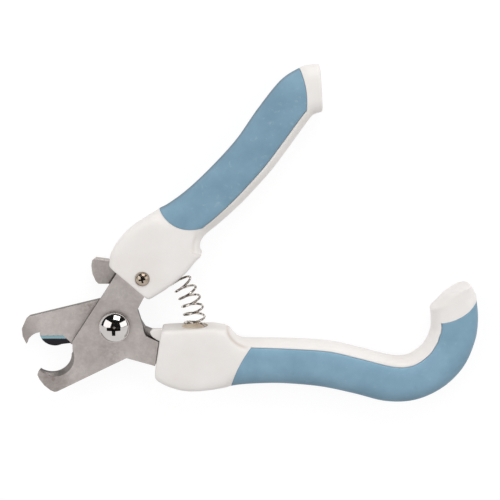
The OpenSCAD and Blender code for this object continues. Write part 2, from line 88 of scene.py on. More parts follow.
class Finish:  # a node tree that is written from top to bottom
    def __init__(self, name, owner=None):
        self.material = owner or bpy.data.materials.new(name)
        self.material.use_nodes = True
        self.tree = self.material.node_tree
        self.tree.nodes.clear()

    def add(self, kind, settings=None, inputs=None):  # any node: settings first, then its sockets
        node = self.tree.nodes.new(kind)
        for key, value in (settings or {}).items():
            if key == "stops":
                self.setStops(node.color_ramp, value)
            else:
                setattr(node, key, value)
        for key, value in (inputs or {}).items():
            socket = self.socketOf(node, key)
            if isinstance(value, Sock):
                self.tree.links.new(value.socket, socket)
            elif hasattr(socket.default_value, "__len__") and len(socket.default_value) == 4:
                socket.default_value = (*value[:3], 1.0)
            else:
                socket.default_value = value
        shown = [o for o in node.outputs if o.enabled]
        return Sock(self, shown[0]) if shown else None

    def socketOf(self, node, key):
        if isinstance(key, int):
            return node.inputs[key]
        return next(s for s in node.inputs if s.name == key and s.enabled)

    def setStops(self, ramp, stops):
        while len(ramp.elements) < len(stops):
            ramp.elements.new(1.0)
        for element, (place, tone) in zip(ramp.elements, stops):
            element.position = place
            element.color = (*tone, 1.0) if hasattr(tone, "__len__") else (tone, tone, tone, 1.0)

    def maths(self, operation, *values):
        return self.add("ShaderNodeMath", {"operation": operation}, dict(enumerate(values)))

    def vectorMaths(self, operation, *values):
        return self.add("ShaderNodeVectorMath", {"operation": operation}, dict(enumerate(values)))

    def place(self):  # a point of the part, in metres
        return self.add("ShaderNodeTexCoord").other("Object")

    def axisOf(self, vector, axis):
        return self.add("ShaderNodeSeparateXYZ", None, {"Vector": vector}).other(axis)

    def facing(self, axis):  # how far the surface looks along an axis of its own body
        return self.axisOf(self.add("ShaderNodeTexCoord").other("Normal"), axis)

    def scaled(self, vector, by):
        return self.vectorMaths("MULTIPLY", vector, by)

    def farFrom(self, vector, point):  # distance to a point, in metres
        return self.vectorMaths("DISTANCE", vector, point)

    def along(self, vector, way):  # how far a point lies along a direction
        return self.vectorMaths("DOT_PRODUCT", vector, way)

    def noise(self, vector, size, detail=2.0, rough=0.5, twist=0.0):  # size in millimetres
        inputs = {"Vector": vector, "Scale": 1.0 / (size * mm), "Detail": detail, "Roughness": rough,
                  "Distortion": twist}
        return self.add("ShaderNodeTexNoise", None, inputs)

    def ramp(self, value, *stops):
        return self.add("ShaderNodeValToRGB", {"stops": stops}, {"Fac": value})

    def spread(self, value, low, high, toLow=0.0, toHigh=1.0):
        inputs = {"Value": value, "From Min": low, "From Max": high, "To Min": toLow, "To Max": toHigh}
        return self.add("ShaderNodeMapRange", {"clamp": True}, inputs)

    def mix(self, share, first, second, how="MIX"):
        settings = {"data_type": "RGBA", "blend_type": how}
        return self.add("ShaderNodeMix", settings, {"Factor": share, "A": first, "B": second})

    def shaded(self, base, level):  # a colour times a level
        return self.mix(1.0, base, level, "MULTIPLY")

    def rougher(self, limits, by):  # a roughness that grows from its least value
        least, more = limits
        return least + by * more

    def bump(self, height, strength, deep):
        inputs = {"Height": height, "Strength": strength, "Distance": deep * mm}
        return self.add("ShaderNodeBump", None, inputs)

    def shownRays(self):  # 1 where the camera, a mirror or glass looks at it
        rays = self.add("ShaderNodeLightPath")
        return rays.atLeast(rays.other("Is Glossy Ray")).atLeast(rays.other("Is Transmission Ray"))

    def surface(self, sockets):
        return self.close(self.add("ShaderNodeBsdfPrincipled", None, sockets))

    def metal(self, base, rough, normal, share=1.0):
        return self.surface({"Base Color": base, "Metallic": share, "Roughness": rough,
                             "Normal": normal})

    def close(self, shader):
        self.add("ShaderNodeOutputMaterial", None, {"Surface": shader})
        return self.material


def tone(red, green, blue):  # a colour as seen on screen, turned to linear values
    def linear(level):
        level = level / 255
        return level / 12.92 if level <= 0.04045 else ((level + 0.055) / 1.055) ** 2.4
    return (linear(red), linear(green), linear(blue))


def times(values, level):
    return tuple(v * level for v in values)


closePoints = 0.002  # points nearer than this, in mm, are one point
flatWithin = 0.4  # faces within this many degrees of each other are one flat face
anywhere = (-99, 99)


def newObject(name, points, faces):
    mesh = bpy.data.meshes.new(name)
    mesh.from_pydata([tuple(float(c) for c in p) for p in points], [], [tuple(f) for f in faces])
    mesh.update()
    made = bpy.data.objects.new(name, mesh)
    sceneNow.collection.objects.link(made)
    return made


def paint(made, finish):
    made.data.materials.append(finish)
    return made


def moved(x, y, z=0.0):  # a move in millimetres
    return Matrix.Translation((x * mm, y * mm, z * mm))


def turned(degrees, axis):
    return Matrix.Rotation(math.radians(degrees), 4, axis)


def settle(made):  # modifiers become plain mesh
    bpy.context.view_layer.update()
    graph = bpy.context.evaluated_depsgraph_get()
    mesh = bpy.data.meshes.new_from_object(made.evaluated_get(graph))
    old = made.data
    made.modifiers.clear()
    made.data = mesh
    mesh.name = made.name
    bpy.data.meshes.remove(old)
    return made


def reworked(made, change):  # one round of edits to a mesh
    work = bmesh.new()
    work.from_mesh(made.data)
    change(work)
    work.to_mesh(made.data)
    work.free()
    return made


def joinClose(made):  # points that fall together become one
    def change(work):
        bmesh.ops.remove_doubles(work, verts=work.verts, dist=closePoints * mm)
        bmesh.ops.dissolve_degenerate(work, edges=work.edges, dist=closePoints * mm)
    return reworked(made, change)


def outward(made):  # every face looks out of its solid
    return reworked(made, lambda work: bmesh.ops.recalc_face_normals(work, faces=work.faces))


def carve(made, cutters, how="DIFFERENCE"):
    for cutter in cutters:
        cut = made.modifiers.new("cut", "BOOLEAN")
        cut.operation = how
        cut.solver = "EXACT"
        cut.material_mode = "TRANSFER"
        cut.object = cutter
        settle(made)
        bpy.data.objects.remove(cutter)
    return made


def soften(made, width, angle=30, segments=3, even=True):  # small rounds on the edges
    edges = made.modifiers.new("round", "BEVEL")
    edges.width = width * mm
    edges.segments = segments
    edges.limit_method = "ANGLE"
    edges.angle_limit = math.radians(angle)
    edges.miter_outer = "MITER_ARC"
    joinClose(settle(made))
    if even:
        made.data.shade_smooth()
        made.modifiers.new("weigh", "WEIGHTED_NORMAL").keep_sharp = True
    return settle(made)


def smooth(made, angle=35):
    made.data.shade_smooth()
    made.data.set_sharp_from_angle(angle=math.radians(angle))
    return made


def nodeCopy(node, name):  # a node's own shape as clean flat faces
    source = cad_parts[node].data
    points = [tuple(v.co) for v in source.vertices]

    def change(work):
        bmesh.ops.remove_doubles(work, verts=work.verts, dist=closePoints * mm)
        flat = math.radians(flatWithin)
        bmesh.ops.dissolve_limit(work, angle_limit=flat, verts=work.verts, edges=work.edges)
        bmesh.ops.recalc_face_normals(work, faces=work.faces)
    return reworked(newObject(name, points, [tuple(p.vertices) for p in source.polygons]), change)


def bands(count, size):  # the faces between rings of points
    faces = []
    for r in range(count - 1):
        for k in range(size):
            a, b = r * size + k, r * size + (k + 1) % size
            faces.append((a, b, b + size, a + size))
    return faces


def skin(name, rings, hollow=False):  # a solid through rings of equal count
    rings = np.asarray(rings) * mm
    count, size = rings.shape[:2]
    faces = bands(count, size)
    caps = [range(size - 1, -1, -1)]
    if hollow:  # the two arcs of a C section
        caps = [(k + 1, k, size - 1 - k, size - 2 - k) for k in range(size // 2 - 1)]
    for cap in caps:
        faces.append(tuple(cap))
        faces.append(tuple((count - 1) * size + k for k in reversed(cap)))
    return outward(newObject(name, rings.reshape(-1, 3), faces))


def lathe(name, profile, sides=96):  # profile from the axis out and back to it, or a closed ring
    profile = np.asarray(profile, float)
    inner = profile[1:-1] if profile[0][0] == 0 and profile[-1][0] == 0 else profile
    turn = np.linspace(0, 2 * math.pi, sides, endpoint=False)
    points = [(r * math.cos(a), r * math.sin(a), z) for r, z in inner for a in turn]
    faces = bands(len(inner), sides)
    last = (len(inner) - 1) * sides
    if len(inner) != len(profile):
        faces.append(tuple(reversed(range(sides))))
        faces.append(tuple(last + k for k in range(sides)))
    else:
        for k in range(sides):
            faces.append((last + k, last + (k + 1) % sides, (k + 1) % sides, k))
    return outward(newObject(name, np.asarray(points) * mm, faces))


def prism(name, outline, low, high):
    count = len(outline)
    points = [(x * mm, y * mm, z * mm) for z in (low, high) for x, y in outline]
    faces = [tuple(reversed(range(count))), tuple(range(count, 2 * count))]
    faces += [(k, (k + 1) % count, (k + 1) % count + count, k + count) for k in range(count)]
    return outward(newObject(name, points, faces))


def markFaces(made, finish, tilt, x=anywhere, y=anywhere, z=anywhere):  # faces of a tilt inside a box
    paint(made, finish)
    for face in made.data.polygons:
        middle = face.center / mm
        inside = all(low <= c <= high for c, (low, high) in zip(middle, (x, y, z)))
        if inside and tilt[0] < face.normal.z < tilt[1]:
            face.material_index = len(made.data.materials) - 1


def fit(made, body, node):
    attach(made, body)
    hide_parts(node)
    return made


# looks: noise sizes in mm, shades as (amount, level), rough as (least, more), bumps as (strength, mm)
steelLook = {"light": tone(199, 192, 188), "dark": tone(183, 175, 171), "stain": tone(118, 96, 84),
             "veil": tone(120, 114, 110), "paintedShade": tone(46, 38, 35),
             "cloud": 9, "speck": 0.35, "grain": 0.12, "drawn": (0.12, 1.0, 1.0), "mottle": 1.8,
             "speckShade": (0.35, 0.72), "mottleShade": (0.3, 0.8), "mottleLight": (0.25, 1.12),
             "patch": 0.2, "paintedSeamShadow": ((1.2, 18.1), (-13.9, -5)), "seamBroken": 0.3,
             "rough": 0.42, "cloudRough": 0.08, "speckRough": 0.06, "bump": (0.16, 0.03)}


def bladeSteel(name, lift, stains=(), paintedSeamShadow=None):
    f, look = Finish(name), steelLook
    at = f.place()
    cloud = f.noise(at, look["cloud"], detail=4, rough=0.6)
    speck = f.noise(at, look["speck"], detail=3, rough=0.7)
    grain = f.noise(f.scaled(at, look["drawn"]), look["grain"], rough=0.6)
    mottle = f.noise(at, look["mottle"], detail=5, rough=0.75, twist=0.5)
    light, dark = times(look["light"], lift), times(look["dark"], lift)
    base = f.mix(f.spread(cloud, 0.35, 0.65), dark, light)
    amount, level = look["speckShade"]
    base = f.mix(f.spread(speck, 0.55, 0.8) * amount, base, times(dark, level))
    amount, level = look["mottleShade"]
    base = f.mix(f.spread(mottle, 0.46, 0.64) * amount, base, times(dark, level))
    amount, level = look["mottleLight"]
    base = f.mix(f.spread(mottle, 0.36, 0.5, amount, 0.0), base, times(light, level))
    for point, reach, veil, amount in stains:  # darker places: an even veil, and stain patches
        near = 1 - f.spread(f.farFrom(at, times(point, mm)), 0.0, reach * mm)
        patch = f.spread(f.noise(at, reach * look["patch"], detail=4, rough=0.7), 0.42, 0.62)
        base = f.mix(near * veil, base, look["veil"])
        base = f.mix(near * patch * amount, base, look["stain"])
    if paintedSeamShadow:  # painted shadow against the long edge of the blade in front
        wide, amount = paintedSeamShadow
        (x, y), (toX, toY) = look["paintedSeamShadow"]
        out = Vector((toY - y, x - toX, 0.0)).normalized()
        off = (f.along(at, out) - (out.x * x + out.y * y) * mm).calc("ABSOLUTE")
        line = 1 - f.spread(off, wide * 0.5 * mm, wide * mm)
        broken = look["seamBroken"]
        line = line * ((1 - broken) + f.spread(speck, 0.4, 0.6) * broken)
        base = f.mix(line * amount, base, look["paintedShade"])
    rough = look["rough"] + f.spread(cloud, 0.3, 0.7) * look["cloudRough"] + speck * look["speckRough"]
    return f.metal(base, rough, f.bump(grain * 0.6 + speck * 0.4, *look["bump"]))


grindLook = {"dark": tone(43, 41, 44), "reflectionLine": tone(140, 172, 180), "top": -3.5, "width": 3.9,
             "lines": 0.1, "drawn": (1.0, 0.1, 0.1), "waver": 0.08, "rough": (0.2, 0.1),
             "bump": (0.1, 0.02)}


def grindSteel(name):  # painted reflection: a dark polished grind with a pale blue line along its upper edge
    f, look = Finish(name), grindLook
    at = f.place()
    share = f.spread(f.axisOf(at, "Y"), (look["top"] - look["width"]) * mm, look["top"] * mm)
    lines = f.noise(f.scaled(at, look["drawn"]), look["lines"], rough=0.6)
    line = share + (lines - 0.5) * look["waver"]
    edge = f.ramp(line, (0.0, 0.0), (0.66, 0.0), (0.74, 1.0), (1.0, 0.85))
    base = f.mix(edge, look["dark"], look["reflectionLine"])
    return f.metal(base, f.rougher(look["rough"], lines), f.bump(lines, *look["bump"]))


chromeLook = {"pale": tone(210, 207, 205), "deep": tone(190, 187, 185), "swirl": 2.5, "scuff": 0.2,
              "drawn": (1.0, 0.15, 1.0), "rough": (0.05, 0.08), "bump": (0.03, 0.01)}


def chromeFinish(name):
    f, look = Finish(name), chromeLook
    at = f.place()
    swirl = f.noise(at, look["swirl"], detail=3)
    scuff = f.noise(f.scaled(at, look["drawn"]), look["scuff"], rough=0.6)
    rough = f.rougher(look["rough"], f.spread(scuff, 0.55, 0.8))
    base = f.mix(swirl, look["pale"], look["deep"])
    return f.metal(base, rough, f.bump(scuff, *look["bump"]))


nickelLook = {"pale": tone(184, 171, 156), "deep": tone(148, 132, 115), "cloud": 1.6, "scuff": 0.25,
              "rough": (0.16, 0.16), "bump": (0.08, 0.02)}


def nickelFinish(name):
    f, look = Finish(name), nickelLook
    at = f.place()
    cloud = f.noise(at, look["cloud"], detail=4, rough=0.6)
    scuff = f.noise(at, look["scuff"], rough=0.6)
    rough = f.rougher(look["rough"], f.spread(scuff, 0.4, 0.7))
    base = f.mix(f.spread(cloud, 0.35, 0.65), look["pale"], look["deep"])
    return f.metal(base, rough, f.bump(scuff, *look["bump"]))


recessLook = {"dark": tone(38, 33, 31), "pale": tone(70, 62, 57), "paintedShade": 0.6, "metal": 0.6,
              "rough": (0.4, 0.2), "bump": (0.2, 0.03)}


# painted shade: the cross recesses of the screws are coloured dark
def darkRecess(name):
    f, look = Finish(name), recessLook
    paintedShade = f.noise(f.place(), look["paintedShade"], detail=3, rough=0.6)
    rough = f.rougher(look["rough"], paintedShade)
    base = f.mix(f.spread(paintedShade, 0.4, 0.7), look["dark"], look["pale"])
    return f.metal(base, rough, f.bump(paintedShade, *look["bump"]), look["metal"])


wireLook = {"dark": tone(116, 106, 97), "pale": tone(232, 226, 218), "cloud": 0.9, "draw": 0.12,
            "rough": (0.1, 0.1), "bump": (0.1, 0.02)}


def wireFinish(name):
    f, look = Finish(name), wireLook
    at = f.place()
    cloud = f.noise(at, look["cloud"], detail=3, rough=0.6)
    draw = f.noise(at, look["draw"], rough=0.6)
    # painted highlights: pale speckles along the wire stand in for glints
    base = f.mix(f.spread(cloud, 0.46, 0.58), look["dark"], look["pale"])
    return f.metal(base, f.rougher(look["rough"], draw), f.bump(draw, *look["bump"]))


plasticLook = {"pale": tone(234, 230, 227), "warm": tone(228, 223, 219), "mark": tone(212, 205, 198),
               "paintedShade": tone(200, 188, 178), "inside": (tone(244, 233, 217), tone(236, 222, 204)),
               "cloud": 14, "speck": 0.9, "fine": 0.16, "marks": 0.3, "rough": 0.4, "cloudRough": 0.08,
               "fineRough": 0.06, "gloss": 0.42, "bump": (0.06, 0.02)}


def whitePlastic(name, crease=None, inside=False):
    f, look = Finish(name), plasticLook
    at = f.place()
    cloud = f.noise(at, look["cloud"], detail=3, rough=0.55)
    speck = f.noise(at, look["speck"], detail=3, rough=0.65)
    fine = f.noise(at, look["fine"], rough=0.6)
    # painted warm shade: the inside of pockets and slots is tinted cream
    if inside:
        base = f.mix(f.spread(speck, 0.3, 0.7), *look["inside"])
    else:
        base = f.mix(f.spread(cloud, 0.35, 0.65), look["pale"], look["warm"])
        base = f.mix(f.spread(speck, 0.66, 0.8) * look["marks"], base, look["mark"])
    if crease:  # painted shade in the fold at the neck
        flat = f.scaled(at, (1.0, 1.0, 0.0))
        middle, centre = (times((*crease[key], 0.0), mm) for key in ("middle", "centre"))
        off = (f.farFrom(flat, centre) - crease["radius"] * mm).calc("ABSOLUTE")
        reach = crease["reach"]
        near = 1 - f.spread(f.farFrom(flat, middle), reach * 0.6 * mm, reach * mm)
        line = 1 - f.spread(off, 0.0, crease["wide"] * 1.2 * mm)
        base = f.mix(line * near * crease["paintedShade"], base, look["paintedShade"])
    rough = look["rough"] + f.spread(cloud, 0.3, 0.7) * look["cloudRough"] + fine * look["fineRough"]
    return f.surface({"Base Color": base, "Roughness": rough, "Specular IOR Level": look["gloss"],
                      "Normal": f.bump(fine, *look["bump"])})


rubberLook = {"mid": tone(120, 153, 173), "pale": tone(127, 160, 180), "deep": tone(113, 146, 166),
              "dust": tone(168, 192, 204), "cloud": 11, "patch": 3.2, "fleck": 1.3, "fine": 0.22,
              "edge": 0.58, "sideShadeTilt": (0.05, 0.48), "rough": 0.56, "patchRough": 0.1,
              "fineRough": 0.08, "gloss": 0.36, "sheen": 0.06, "sheenRough": 0.5, "bump": (0.12, 0.03)}


def blueRubber(name, low, high, dusty):  # low, high: painted shade levels where the surface looks along -Y and +Y
    f, look = Finish(name), rubberLook
    at = f.place()
    cloud = f.noise(at, look["cloud"], detail=4, rough=0.6)
    patch = f.noise(at, look["patch"], detail=4, rough=0.65, twist=0.6)
    fleck = f.noise(at, look["fleck"], detail=5, rough=0.7, twist=0.4)
    fine = f.noise(at, look["fine"], rough=0.65)
    base = f.ramp(cloud, (0.32, look["deep"]), (0.5, look["mid"]), (0.68, look["pale"]))
    dust = f.spread(fleck, 0.54, 0.68) * f.spread(patch, 0.5, 0.62)
    base = f.mix(dust * dusty, base, look["dust"])
    # painted shade: lighter where the surface looks along +Y, darker along -Y
    base = f.shaded(base, f.spread(f.facing("Y"), -1.0, 1.0, low, high))
    tilt = f.facing("Z").calc("ABSOLUTE")  # painted shade: side walls are darker than the faces
    base = f.shaded(base, f.spread(tilt, *look["sideShadeTilt"], look["edge"], 1.0))
    rough = look["rough"] + f.spread(patch, 0.3, 0.7) * look["patchRough"] + fine * look["fineRough"]
    return f.surface({"Base Color": base, "Roughness": rough, "Specular IOR Level": look["gloss"],
                      "Sheen Weight": look["sheen"], "Sheen Roughness": look["sheenRough"],
                      "Normal": f.bump(fine * 0.7 + patch * 0.3, *look["bump"])})


steelSet = {  # lift of the tone, darker places as (point, reach, veil, patches), painted seam shadow as (mm, amount)
    "blade_steel_front": {"lift": 1.07, "stains": [((-21, -18.5, 8.2), 8, 0.45, 0.5),
                                                   ((-1, -8.5, 8.2), 5, 0.0, 0.3),
                                                   ((-7, -11, 8.2), 10, 0.12, 0.1)]},
    "blade_steel_rear": {"lift": 1.14, "stains": [((-8, 6.5, 6), 6, 0.05, 0.45),
                                                  ((-30.5, -3, 6), 8, 0.5, 0.05)], "paintedSeamShadow": (0.32, 0.42)},
    "guard_steel": {"lift": 1.02, "stains": [((-4, 17, 3.8), 6, 0.0, 0.2)], "paintedSeamShadow": (0.6, 0.9)},
    # the side, shade and notch steels are painted shade: darker tones for side faces and the ground
    # notch
    "side_steel_painted_shade": {"lift": 0.38}, "shade_steel": {"lift": 0.2}, "notch_steel_painted_shade": {"lift": 0.5},
    "ring_steel": {"lift": 1.12}, "washer_steel": {"lift": 0.95}, "nut_steel": {"lift": 0.9},
}
steel = {name: bladeSteel(name, **settings) for name, settings in steelSet.items()}
chrome = chromeFinish("pivot_chrome")
nickel = nickelFinish("screw_nickel")
recess = darkRecess("screw_recess")
wire = wireFinish("spring_wire")
warmShadePlastic = whitePlastic("pocket_plastic_painted_shade", inside=True)
upperBlue = blueRubber("blue_rubber_upper", 0.98, 0.98, 0.4)
# painted shade: the lower grip is lighter toward +Y and darker toward -Y
lowerBlue = blueRubber("blue_rubber_lower", 0.84, 1.32, 0.2)
print("finishes made")


handleShape = {"thick": 12.0, "gripWall": 1.6, "gripFit": 0.05, "bodySquare": (6.0, 10.0),
               "gripSquare": (2.7, 2.7), "bowFade": 4.0, "foldFade": 5.0, "fold": 0.3, "seamTurn": 0.7,
               "ringStep": 0.6, "stripPoints": 36, "wrapPoints": 84, "mouth": 0.9, "mouthRings": 7,
               "tipRings": 13, "shoulder": 0.012, "gripEnd": 0.016, "edgeRound": 0.3, "stripRound": 0.18,
               "gripRise": ((0.0, 1.0), (0.006, 0.45), (0.014, 0.15), (0.03, 0.0)),
               "railStep": 0.05, "turnSamples": 801, "railSamples": 400}
upperHandle = {
    "rails": [
        [[11.45, 9.45], [-1.2, 20.6]], [[17, 12.9], [-0.5, 24.95]], [[23.15, 17.85], [2.8, 29.7]],
        [[26.9, 22.3], [6.4, 33]], [[28.5, 23.8], [8.4, 34.35]], [[28, 25.25], [10.05, 35.5]],
        [[28.3, 28.2], [12.1, 36.85]], [[29.9, 30.5], [13.6, 37.9]], [[31.95, 32.2], [15.05, 38.9]],
        [[34.6, 34.35], [18.4, 40.75]], [[38.6, 37.95], [24.3, 45.2]], [[43.4, 42.7], [31.75, 52.25]],
        [[50.8, 51], [39.75, 61.05]], [[56.45, 58.5], [46.75, 71.05]], [[60.4, 64.05], [54, 80.05]],
        [[62.75, 67.3], [60, 84]], [[64.4, 69.2], [62.4, 84.85]], [[67.4, 70.2], [66.3, 85.2]],
    ],
    "bodyEnd": 3, "gripSpan": (8, 15), "seamBow": (-2.8, 0.85), "strip": (2.5, 2.5), "tip": (0.25, 0.9),
    "crease": {"centre": (39.5, 26.2), "radius": 13.5, "middle": (26.2, 28.5), "reach": 4.4,
               "deep": 0.2, "wide": 0.7, "paintedShade": 0.3},
}
lowerHandle = {
    "rails": [
        [[15.4, -0.7], [13.05, -15.6]], [[16.3, -0.6], [13.5, -17.3]], [[18, -0.45], [15.45, -18.75]],
        [[21.2, -0.3], [18.45, -20.1]], [[26.5, -0.1], [22.6, -21.2]], [[31.5, 0], [26.8, -21.35]],
        [[35.1, -0.35], [30.8, -21.05]], [[37.4, -1], [33.6, -20.75]], [[38.9, -2.7], [35.6, -20.55]],
        [[41.2, -4.1], [36.9, -20.45]], [[45.6, -4.3], [37.95, -20.25]], [[48.6, -4.33], [41.2, -19.75]],
        [[52.8, -4.42], [47, -19.35]], [[58.5, -4.6], [55.5, -19.3]], [[70.5, -5.45], [67.5, -20.4]],
        [[81.35, -7.95], [78.5, -22.75]], [[91.3, -10.4], [89.1, -25.4]],
        [[96.6, -10.1], [98.9, -24.95]], [[100.6, -7.35], [107.9, -20.7]],
        [[102.7, -4.15], [114.65, -13.55]], [[103.35, -2.1], [118.2, -4.6]],
        [[103.7, -0.9], [118.9, 2.8]], [[103.75, 0.4], [118.2, 9.2]],
        [[103.55, 4.4], [118.1, 10.4]], [[103.3, 6], [117.7, 11.2]], [[105, 7.75], [117.25, 12.1]],
        [[107.6, 10.35], [116.65, 13.1]], [[111.6, 12.8], [115.7, 14.1]],
    ],
    "bodyEnd": 4, "gripSpan": (10, 22), "seamBow": (0.9, 1.5), "strip": (1.9, 2.5), "tip": (0.5, 1.7),
    "crease": {"centre": (44.2, 1.1), "radius": 7.55, "middle": (38.9, -4.3), "reach": 5.6,
               "deep": 0.5, "wide": 0.55, "paintedShade": 0.8},
    "lip": [(17, -0.9), (12.5, -0.85), (11.5, -1.7), (11.7, -2.6), (12.3, -3.5), (13.9, -4.6),
            (15, -5.05), (17, -5.1)],
    "lipRound": 0.35,
}


def stationRow(rows, t):  # a smooth curve through the listed rows
    last = len(rows) - 1
    k = min(int(math.floor(t)), last - 1)
    a, b, c, d = (rows[min(max(k + j, 0), last)] for j in (-1, 0, 1, 2))
    u = t - k
    square = (2 * a - 5 * b + 4 * c - d) * u ** 2
    return 0.5 * (2 * b + (c - a) * u + square + (3 * b - a - 3 * c + d) * u ** 3)


def signedPower(value, power):
    return np.sign(value) * np.abs(value) ** power


def easeIn(share):  # 0 to 1 with level ends
    share = min(max(share, 0.0), 1.0)
    return share * share * (3 - 2 * share)


class Section:  # the cross section of a handle at one station
    def __init__(self, handle, t):
        rows = np.asarray(handle["rails"], float)
        first, last = handle["gripSpan"]
        end, step = len(rows) - 1, handleShape["railStep"]
        row = stationRow(rows, t)
        self.middle = row.mean(0)
        self.wide = np.linalg.norm(row[1] - row[0])
        self.across = (row[1] - row[0]) / self.wide
        rail = stationRow(rows, min(t + step, end))[0] - stationRow(rows, max(t - step, 0))[0]
        lean = abs(np.cross(self.across, rail / np.linalg.norm(rail)))
        along = min(max((t - first) / (last - first), 0), 1)
        strip = handle["strip"][0] + (handle["strip"][1] - handle["strip"][0]) * along
        self.strip = min(strip / lean, self.wide / 4)
        self.limit = 1 - 2 * self.strip / self.wide
        body, grip = np.array(handleShape["bodySquare"]), np.array(handleShape["gripSquare"])
        bodyEnd = handle["bodyEnd"]
        self.square = body + (grip - body) * easeIn((t - bodyEnd) / (first - bodyEnd))
        reaches = [min(handleShape["bowFade"], end - e) for e in (first, last)]
        fades = [easeIn(1 - abs(t - e) / reach) for e, reach in zip((first, last), reaches)]
        self.bow = sum(b * fade for b, fade in zip(handle["seamBow"], fades))
        self.fold = handleShape["fold"] * easeIn(1 - abs(t - first) / handleShape["foldFade"])

    def points(self, angles, inset):
        half = handleShape["thick"] / 2
        share = signedPower(np.cos(angles), 2 / self.square[0])
        q = -(self.wide / 2 - inset) * share
        lead = self.bow * np.maximum(4 * (1 + share) * (self.limit - share) / (1 + self.limit) ** 2, 0)
        inward = np.maximum(1 - (1 - share) * self.wide / 2 / self.strip, 0)
        high = (half - inset) * signedPower(np.sin(angles), 2 / self.square[1])
        high = high * (1 - self.fold * inward)
        x = self.middle[0] + self.across[0] * q + self.across[1] * lead
        y = self.middle[1] + self.across[1] * q - self.across[0] * lead
        return np.stack([x, y, half + high], 1)

    def stripTurn(self):  # the angle at which the white strip ends
        return math.acos(self.limit ** (self.square[0] / 2))

    def evenAngles(self, start, end, count):  # angles that give evenly spaced points
        samples = handleShape["turnSamples"]
        shares = np.linspace(-1, 1, samples)
        rising = np.arccos(np.clip(signedPower(shares, self.square[0] / 2), -1, 1))
        grid = np.concatenate([np.linspace(start, end, samples), rising, -rising, 2 * math.pi - rising])
        grid = np.unique(grid[(grid >= start) & (grid <= end)])
        steps = np.linalg.norm(np.diff(self.points(grid, 0.0), axis=0), axis=1)
        walked = np.concatenate([[0], np.cumsum(steps)])
        even = np.linspace(0, walked[-1], count)
        return np.interp(even, walked, grid), even, walked[-1]


def edgeDrop(walked, total, size):  # how far a rounded edge falls away
    near = np.minimum(walked, total - walked)
    u = np.clip(1 - near / size, 0, 1)
    return size * (1 - np.sqrt(1 - u ** 2))


def evenStations(handle, start, end):
    rows = np.asarray(handle["rails"], float)
    grid = np.linspace(start, end, handleShape["railSamples"])
    middles = np.array([stationRow(rows, t) for t in grid])
    steps = np.linalg.norm(np.diff(middles, axis=0), axis=2).max(1)
    walked = np.concatenate([[0], np.cumsum(steps)])
    count = max(int(round(walked[-1] / handleShape["ringStep"])), 2)
    return list(np.interp(np.linspace(0, walked[-1], count + 1), walked, grid))


def creased(points, crease):  # a shallow fold on both faces, along an arc at the neck
    off = np.linalg.norm(points[:, :2] - crease["centre"], axis=1) - crease["radius"]
    near = 1 - np.linalg.norm(points[:, :2] - crease["middle"], axis=1) / crease["reach"]
    near = np.clip(near * 3, 0, 1)
    middle = handleShape["thick"] / 2
    drop = crease["deep"] * np.exp(-(off / crease["wide"]) ** 2) * near * near * (3 - 2 * near)
    points[:, 2] -= np.clip((points[:, 2] - middle) / middle * 2, -1, 1) * drop
    return points


def coreRing(handle, t, inset, depth):
    s = Section(handle, t)
    f = s.stripTurn()
    g = f + math.radians(handleShape["seamTurn"])
    stripAngles, walked, total = s.evenAngles(-f, f, handleShape["stripPoints"])
    drop = edgeDrop(walked, total, handleShape["stripRound"]) if depth else 0.0
    wrapAngles = s.evenAngles(g, 2 * math.pi - g, handleShape["wrapPoints"])[0]
    ring = np.concatenate([s.points(stripAngles, inset + drop), s.points(wrapAngles, inset + depth)])
    return creased(ring, handle["crease"])


def coreLoft(name, handle):  # rings as (station, inset, depth of the grip's seat)
    first, last = handle["gripSpan"]
    end = len(handle["rails"]) - 1
    rows = np.asarray(handle["rails"], float)
    mouthDeep = handleShape["mouth"]
    mouthLong = mouthDeep / np.linalg.norm(rows[1].mean(0) - rows[0].mean(0))
    tipLong, tipDeep = handle["tip"]
    shoulder, wall = handleShape["shoulder"], handleShape["gripWall"]
    mouth = np.linspace(0, math.pi / 2, handleShape["mouthRings"])
    tip = np.linspace(0, math.pi / 2, handleShape["tipRings"])[1:]
    plan = [(mouthLong * (1 - math.cos(a)), mouthDeep * (1 - math.sin(a)), 0) for a in mouth]
    plan += [(t, 0, 0) for t in evenStations(handle, mouthLong, first)[1:]]
    plan += [(t, 0, wall) for t in evenStations(handle, first + shoulder, last - shoulder)]
    plan += [(t, 0, 0) for t in evenStations(handle, last, end - tipLong)]
    plan += [(end - tipLong * (1 - math.sin(a)), tipDeep * (1 - math.cos(a)), 0) for a in tip]
    return skin(name, [coreRing(handle, *step) for step in plan])


def gripRing(handle, t, inset):
    s = Section(handle, t)
    g = s.stripTurn() + 2 * math.radians(handleShape["seamTurn"])
    angles, walked, total = s.evenAngles(g, 2 * math.pi - g, handleShape["wrapPoints"])
    drop = np.maximum(edgeDrop(walked, total, handleShape["edgeRound"]), inset)
    inner = handleShape["gripWall"] - handleShape["gripFit"]
    return np.concatenate([s.points(angles, drop), s.points(angles[::-1], inner)])


def gripLoft(name, handle):  # rings as (station, inset)
    first, last = handle["gripSpan"]
    gap = handleShape["gripEnd"]
    rise = [(d, handleShape["edgeRound"] * share) for d, share in handleShape["gripRise"]]
    full = rise[-1][0]
    plan = [(first + gap + d, inset) for d, inset in rise]
    plan += [(t, 0.0) for t in evenStations(handle, first + gap + full, last - gap - full)[1:-1]]
    plan += [(last - gap - d, inset) for d, inset in reversed(rise)]
    return skin(name, [gripRing(handle, *step) for step in plan], hollow=True)


